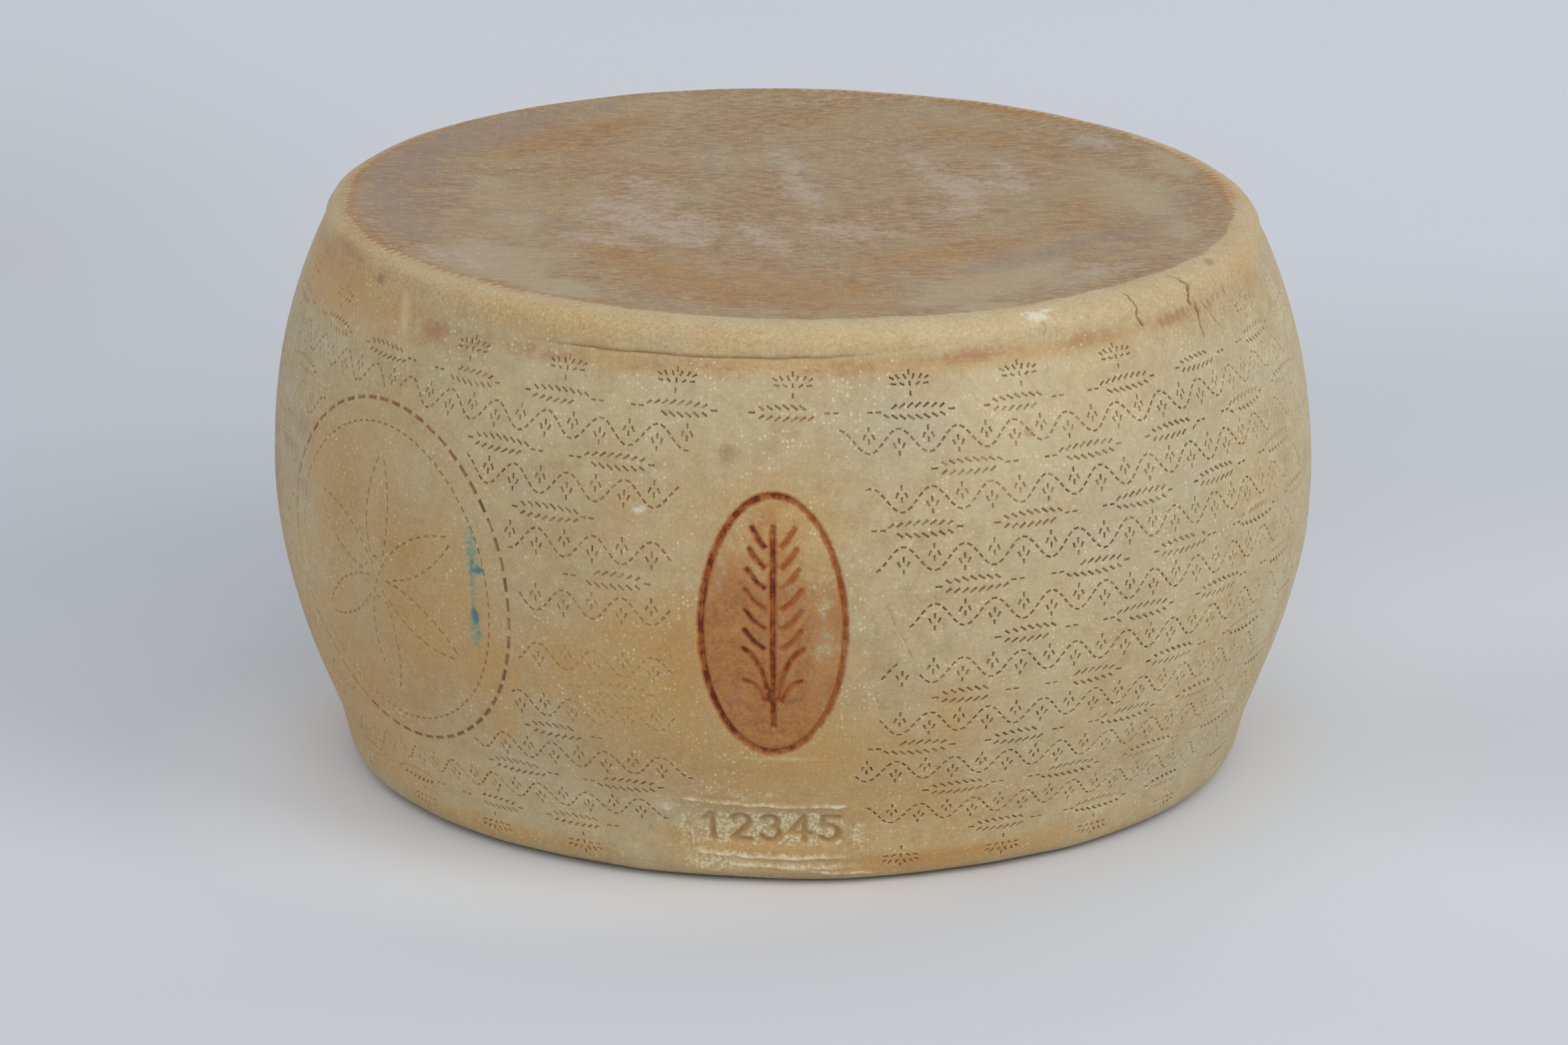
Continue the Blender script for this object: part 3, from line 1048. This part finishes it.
def sanded(node, mask, finest, colour):
    """The finest grain, about a millimetre, paler and darker by turns, and strongest on the rim."""
    share = node(MINUS, node(PLUS, 0.19, node(TIMES, mask.rim, 0.17)), node(TIMES, mask.top, 0.03))
    return coated(node, colour,
                  (node(RAMP, finest, 0.3, 0.5, 1.0, 0.0), share, "#8c7142"),
                  (node(RAMP, finest, 0.5, 0.7), share, "#e2d4a8"))


def stained(node, place, mask, colour):
    """Stains and bloom: noise at two sizes tears each painted patch, and the top's are duller."""
    coarse = node(TIMES, node(NOISE, place, across_mm(7), 5, 0.7), 0.55)
    fine = node(TIMES, node(NOISE, place, across_mm(2.4), 4, 0.7), 0.45)
    ragged = node(MINUS, node(PLUS, coarse, fine), 0.5)
    pale_tint = node(BLEND, mask.top, linear("#d4c092"), linear("#b19f7c"))
    bloom_tint = node(BLEND, mask.top, linear("#e2dac4"), linear("#bba792"))
    # where it lies, its tint, its share, how gently it sets in, and how torn it is
    for patch, tint, share, reach, tear in (
            (mask.orange, linear("#9c6628"), 0.55, 1.1, 1.9),
            (mask.pink, linear("#a06f50"), 0.7, 1.0, 3.2),
            (mask.grey, linear("#8a7658"), 0.5, 0.6, 1.9),
            (mask.pale, pale_tint, 0.65, 1.0, 1.9),
            (mask.lavender, linear("#8e7769"), 0.75, 1.2, 4.0),
            (mask.bloom, bloom_tint, 0.7, 0.9, 4.0)):
        broken = node(PLUS, patch, node(TIMES, ragged, tear))
        held = node(TIMES, node(RAMP, broken, 0.0, reach), node(RAMP, patch, 0.0, 0.2))
        colour = node(BLEND, node(TIMES, held, share), colour, tint)
    return colour


def salt_specks(node, place, mask):
    """Salt and fat grains under the skin: specks up to a millimetre across, crowded in some places and
    fewer on rim and top."""
    grain = node(CELLS, place, across_mm(1.7))
    size = node(SPLIT_COLOUR, grain.node.outputs["Color"])
    speck = node(RAMP, grain, 0.04, node(RAMP, size, 0.35, 1.0, 0.06, 0.52), 1.0, 0.0)
    crowded = node(RAMP, node(NOISE, place, across_mm(22), 3, 0.55), 0.4, 0.62, 0.15, 0.85)
    fewer = node(TIMES, node(PLUS, mask.rim, mask.top), 0.5)
    return node(TIMES, node(TIMES, speck, crowded), node(MINUS, 1.0, fewer))


def crumbed(node, place, mask, crumbs, colour):
    """The granular crust in and under the panel: pale crumbs with warm gaps between them."""
    uneven = node(PLUS, mask.crust, node(MINUS, node(NOISE, place, across_mm(6), 3, 0.55), 0.55))
    return coated(node, colour, (node(TIMES, node(RAMP, uneven, 0.1, 0.6), crumbs), 0.85, "#e4d6ae"))


def tanned(node, place, mask, finest, colour):
    """The skin that the iron's hot face scorched inside the brand, in two uneven browns."""
    patchy = node(TIMES, node(MINUS, node(NOISE, place, across_mm(10), 5, 0.65), 0.52), 2.2)
    patches = node(RAMP, node(PLUS, mask.tan, patchy), 0.06, 0.85)
    inside = node(TIMES, patches, node(RAMP, mask.tan, 0.0, 0.15))
    paler = node(RAMP, node(NOISE, place, across_mm(5), 4, 0.7), 0.34, 0.66)
    browns = node(BLEND, paler, linear("#985823"), linear("#b17636"))
    return node(BLEND, node(TIMES, inside, node(RAMP, finest, 0.35, 0.72, 0.94, 0.68)), colour, browns)


def dashed(node, place, mask, colour):
    """The dashes bit through the oiled skin: pale grains crowd on the crumbling lips they pushed up, and
    dirt has filled them, brown to grey-olive."""
    lip = node(LAYER, attribute_name="lip").node.outputs["Fac"]
    grains = node(RAMP, node(NOISE, place, across_mm(0.9), 3, 0.7), 0.5, 0.6)
    colour = coated(node, colour, (node(TIMES, grains, node(RAMP, lip, 0.15, 1.0)), 0.55, "#dccfa6"))
    patchy = node(RAMP, node(NOISE, place, across_mm(2.2), 2, 0.55), 0.25, 0.6, 0.65, 1.0)
    filled = node(TIMES, node(RAMP, mask.dash, 0.12, 0.7), node(TIMES, mask.strength, patchy))
    return node(BLEND, filled, colour, node(BLEND, mask.red, linear("#463a26"), linear("#955f2f")))


def charred(node, place, mask, colour):
    """The hot lines: tan at their edges, red-brown inside and nearly black where they pressed hardest."""
    uneven = node(RAMP, node(NOISE, place, across_mm(5), 5, 0.7), 0.36, 0.62, 0.35, 1.14)
    heat = node(TIMES, mask.char, uneven)
    colour = coated(node, colour, (node(RAMP, heat, 0.02, 0.4), 0.85, "#aa6427"))
    colour = node(BLEND, node(RAMP, heat, 0.4, 0.95), colour, linear("#86400f"))
    return coated(node, colour, (node(RAMP, heat, 0.88, 1.12), 0.7, "#532410"))


def inked(node, place, mask, colour):
    """A streak of blue-green marking ink, dabbed on and half wiped off."""
    wiped = node(TIMES, node(MINUS, node(NOISE, place, across_mm(1.5), 3, 0.7), 0.5), 1.7)
    dabbed = node(TIMES, node(RAMP, node(PLUS, mask.ink, wiped), 0.2, 1.0), node(RAMP, mask.ink, 0.02, 0.3))
    ink_colour = node(BLEND, node(RAMP, mask.ink, 0.75, 1.1), linear("#4e8f83"), linear("#1c6577"))
    return node(BLEND, node(TIMES, dabbed, 0.8), colour, ink_colour)


def rind_relief(node, place, mask, crumbs, speck, grainy):
    """Relief: fine pores, dimples of a few millimetres, crumbs and specks that stand up, and the grain
    of the top."""
    pores = node(TIMES, node(NOISE, place, across_mm(1.0), 3, 0.7), 0.55)
    dimples = node(NOISE, place, across_mm(4.2), 3, 0.55)
    raised = node(PLUS, node(TIMES, node(TIMES, crumbs, mask.crust), 1.3), node(TIMES, speck, 0.12))
    side = node(PLUS, node(PLUS, pores, dimples), raised)
    height = node(PLUS, side, node(TIMES, node(TIMES, grainy, mask.top), 0.5))
    return node(BUMP, 0.5, 0.5 * MM, height)


def cured_rind():
    """Cheese rind: salted, oiled and aged for months, so it is waxy straw, blotched, specked with salt
    and scorched where it was branded."""
    material, tree = new_material("cured_cheese_rind")
    node = partial(add, tree)
    place = node(PLACE)
    mask = painted_masks(node)
    finest = node(NOISE, place, across_mm(1.3), 3, 0.7)
    crumbs = node(RAMP, node(NOISE, place, across_mm(1.5), 3, 0.7), 0.43, 0.55)
    colour, grainy, orange = brushed_top(node, place, mask, straw(node, place, mask))
    mask = mask._replace(orange=orange)
    colour = stained(node, place, mask, sanded(node, mask, finest, colour))
    speck = salt_specks(node, place, mask)
    colour = node(BLEND, speck, colour, linear("#e2d5ae"))
    colour = crumbed(node, place, mask, crumbs, colour)
    colour = tanned(node, place, mask, finest, colour)
    colour = dashed(node, place, mask, colour)
    colour = charred(node, place, mask, colour)
    colour = inked(node, place, mask, colour)
    waxy = node(RAMP, node(NOISE, place, across_mm(20), 3, 0.55), 0.3, 0.7, 0.44, 0.56)
    surface = node(SURFACE, {
        "Base Color": colour, "Roughness": node(PLUS, waxy, node(TIMES, mask.top, 0.1)), "IOR": 1.45,
        "Normal": rind_relief(node, place, mask, crumbs, speck, grainy),
        "Subsurface Weight": 0.08, "Subsurface Radius": (1.0, 0.6, 0.3), "Subsurface Scale": 4 * MM})
    node(OUTPUT, surface)
    return material


# Soft patches in the paper's tone: middle and scale in x and y (no scale: a band), where a patch starts
# and ends to fade, in metres from its middle, how strong it is, and its colour.
PAPER_PATCHES = [
    ((-0.5, 0.5), (2.3, 1.0), 0.0, 1.0, 0.75, "#c0c0c1"),       # shade at the left, a little behind the wheel
    ((0.0, 0.42), (0.0, 1.0), 0.04, 0.34, 1.0, "#cfd1d5"),      # darker behind the wheel
    ((0.0, 1.6), (0.0, 1.0), 0.4, 0.9, 0.25, "#eceef2"),        # lighter far behind it
    ((0.0, -0.6), (0.0, 1.0), 0.28, 0.46, 0.42, "#cbccd0"),     # darker in front of it
    ((0.38, 0.0), (1.0, 1.0), 0.06, 0.22, 0.55, "#c6c8cb"),     # and at its right
    ((-0.06, -0.04), (1.0, 1.0), 0.14, 0.22, 0.45, "#f8f8f8"),  # light close to its foot
]


def seamless_paper():
    """Seamless photographic paper: matt, almost white, faintly blue, with soft patches in its tone."""
    material, tree = new_material("seamless_paper")
    node = partial(add, tree)
    place = node(PLACE)
    cloud = node(NOISE, place, across_mm(700), 2)
    colour = node(BLEND, cloud, linear("#dedfe2"), linear("#d9dce1"))
    for middle, scale, start, end, share, tint in PAPER_PATCHES:
        shift = (-middle[0] * scale[0], -middle[1] * scale[1], 0)
        away = node(LENGTH, node(MAPPED, place, (*scale, 0), shift))
        colour = node(BLEND, node(RAMP, away, start, end, share, 0.0), colour, linear(tint))
    node(OUTPUT, node(SURFACE, colour, 0.9))
    return material


# =============================== into Blender ===============================

def triangle_mesh(name, points, faces):
    """A Blender mesh and its object from arrays of points, in millimetres, and triangles."""
    mesh = bpy.data.meshes.new(name)
    mesh.vertices.add(len(points))
    mesh.vertices.foreach_set("co", (points * MM).ravel())
    mesh.loops.add(faces.size)
    mesh.loops.foreach_set("vertex_index", faces.ravel())
    mesh.polygons.add(len(faces))
    mesh.polygons.foreach_set("loop_start", np.arange(0, faces.size, 3))
    mesh.update(calc_edges=True)
    mesh.validate()
    mesh.shade_smooth()
    piece = bpy.data.objects.new(name, mesh)
    bpy.context.scene.collection.objects.link(piece)
    return piece


def paint(mesh, name, values):
    """Stores four masks for each vertex as a colour attribute."""
    layer = mesh.attributes.new(name, "FLOAT_COLOR", "POINT")
    layer.data.foreach_set("color", values.ravel())


def crease_edges(mesh, pairs):
    """Marks the dashes' outlines sharp, so that a pit's shading stops at its edge."""
    ends = np.empty(2 * len(mesh.edges), int)
    mesh.edges.foreach_get("vertices", ends)
    ends = np.sort(ends.reshape(-1, 2), 1)
    size = len(mesh.vertices)
    sharp = np.isin(ends[:, 0] * size + ends[:, 1], pairs[:, 0] * size + pairs[:, 1])
    layer = mesh.attributes.new("sharp_edge", "BOOLEAN", "EDGE")
    layer.data.foreach_set("value", sharp)


def make_wheel():
    """The cheese itself."""
    points, faces, plane, look, sharp, bake_map = wheel_mesh()
    wheel = triangle_mesh("wheel_rind", points, faces)
    wheel.data.uv_layers.new(name="OFBake").data.foreach_set("uv", bake_map.ravel())
    stains, zones, tints = painted(points, plane, look[:, 3], look[:, 4])
    paint(wheel.data, "marks", look[:, :4])
    paint(wheel.data, "stains", stains)
    paint(wheel.data, "zones", zones)
    paint(wheel.data, "tints", tints)
    wheel.data.attributes.new("lip", "FLOAT", "POINT").data.foreach_set("value", pushed_up(plane, look[:, 5]))
    crease_edges(wheel.data, sharp)
    wheel.data.materials.append(cured_rind())
    print("wheel_rind", len(points), "vertices", len(faces), "triangles")
    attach(wheel, "root")
    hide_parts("wheel")
    return wheel


FLOOR_RINGS = [400, 1200, 3500, 9000]       # radii, in millimetres
FLOOR_CORNERS = 96
FLOOR_LOW = 0.15            # so far under the wheel's foot that the two don't touch


def make_floor():
    """A wide round floor, its rings further apart the further out they lie."""
    turn = np.linspace(0, 2 * np.pi, FLOOR_CORNERS, endpoint=False)
    rings = [np.column_stack([r * np.cos(turn), r * np.sin(turn), 0 * turn]) for r in FLOOR_RINGS]
    points = np.concatenate([[[0, 0, 0]], *rings]) - [0, 0, FLOOR_LOW]
    here = np.arange(FLOOR_CORNERS)
    there = (here + 1) % FLOOR_CORNERS
    faces = [np.column_stack([0 * here, 1 + here, 1 + there])]
    for k in range(len(rings) - 1):
        inner, outer = 1 + FLOOR_CORNERS * k, 1 + FLOOR_CORNERS * (k + 1)
        faces.append(np.column_stack([inner + here, outer + here, outer + there]))
        faces.append(np.column_stack([inner + here, outer + there, inner + there]))
    floor = triangle_mesh("pale_floor", points, np.concatenate(faces))
    floor.data.materials.append(seamless_paper())


# =============================== camera and light ===============================

CAMERA_DISTANCE = 3365      # from the wheel's axis at AIM_HEIGHT, in millimetres
AIM_HEIGHT = 111
CAMERA_PITCH = 17.06        # degrees above the horizon, seen from the wheel
LENS = 194.7
AIM_DOWN, AIM_LEFT = 0.344, 0.061       # degrees past the wheel's middle


def make_camera():
    """A long lens, a little over the rim, that sees the wheel just above the middle of the frame."""
    data = bpy.data.cameras.new("camera")
    data.lens = LENS
    data.sensor_width = 36
    data.clip_end = 60
    camera = bpy.data.objects.new("camera", data)
    pitch = np.radians(CAMERA_PITCH)
    high = AIM_HEIGHT + CAMERA_DISTANCE * np.sin(pitch)
    camera.location = (0, -CAMERA_DISTANCE * np.cos(pitch) * MM, high * MM)
    camera.rotation_euler = (np.radians(90 - CAMERA_PITCH - AIM_DOWN), 0, np.radians(AIM_LEFT))
    bpy.context.scene.collection.objects.link(camera)
    bpy.context.scene.camera = camera


def soft_light(name, place, size, watts, colour):
    """A square soft box that faces the wheel, its place and size in metres."""
    data = bpy.data.lights.new(name, "AREA")
    data.size = size
    data.energy = watts
    data.color = linear(colour)[:3]
    light = bpy.data.objects.new(name, data)
    light.location = place
    light.rotation_euler = (Vector(place) - Vector((0, 0, 0.1))).to_track_quat("Z", "Y").to_euler()
    bpy.context.scene.collection.objects.link(light)


def make_light():
    """One big soft box at the right, a weaker one in front, both over the wheel, and an even pale room."""
    soft_light("key", (2.2, -1.5, 2.0), 1.8, 30, "#fffaf2")
    soft_light("front", (0.2, -2.8, 2.1), 2.2, 17, "#fbfaff")
    world = bpy.data.worlds.new("pale_room")
    world.use_nodes = True
    room = world.node_tree.nodes["Background"]
    room.inputs["Color"].default_value = linear("#dfe4eb")
    room.inputs["Strength"].default_value = 0.86
    bpy.context.scene.world = world
    bpy.context.scene.view_settings.view_transform = "Standard"


make_camera()
make_light()
make_floor()
make_wheel()
